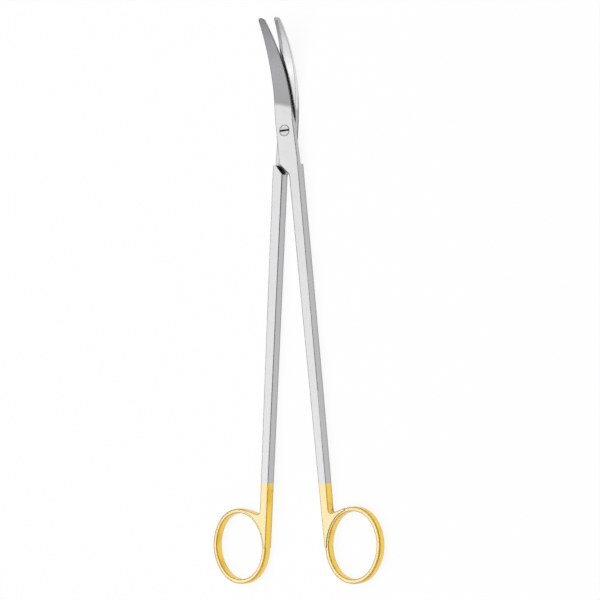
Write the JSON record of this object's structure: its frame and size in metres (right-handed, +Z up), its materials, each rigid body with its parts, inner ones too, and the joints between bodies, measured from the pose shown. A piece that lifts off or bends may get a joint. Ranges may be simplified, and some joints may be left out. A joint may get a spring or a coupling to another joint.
{
  "type": "parametrium scissors",
  "caption": "Long hinged shears with strongly upward-curved blades, a lapped screw joint, slim straight shanks and oval finger rings",
  "frame": {"origin": "on the flat underside, on the axis of the pivot screw", "axes": "+Y runs to the blade tips, +X to the right seen from above, +Z up out of the flat, the way the blades curve"},
  "size_m": [0.0774, 0.227, 0.0162],
  "materials": {
    "satin_steel": "satin, fine lengthwise grain, rings plated gold",
    "screw_steel": "turned and satin ground",
    "carbide": "fine ground, darker than the steel"
  },
  "bodies": {
    "lower": {"lower_half": "satin_steel", "pivot_screw": "screw_steel", "lower_carbide_edge": "carbide"},
    "upper": {"upper_half": "satin_steel", "upper_carbide_edge": "carbide"}
  },
  "joints": [
    {"name": "pivot", "type": "hinge", "parent": "lower", "child": "upper", "pos_m": [0, 0, 0], "axis": [0, 0, 1], "range_deg": [-9.2, 60]}
  ]
}
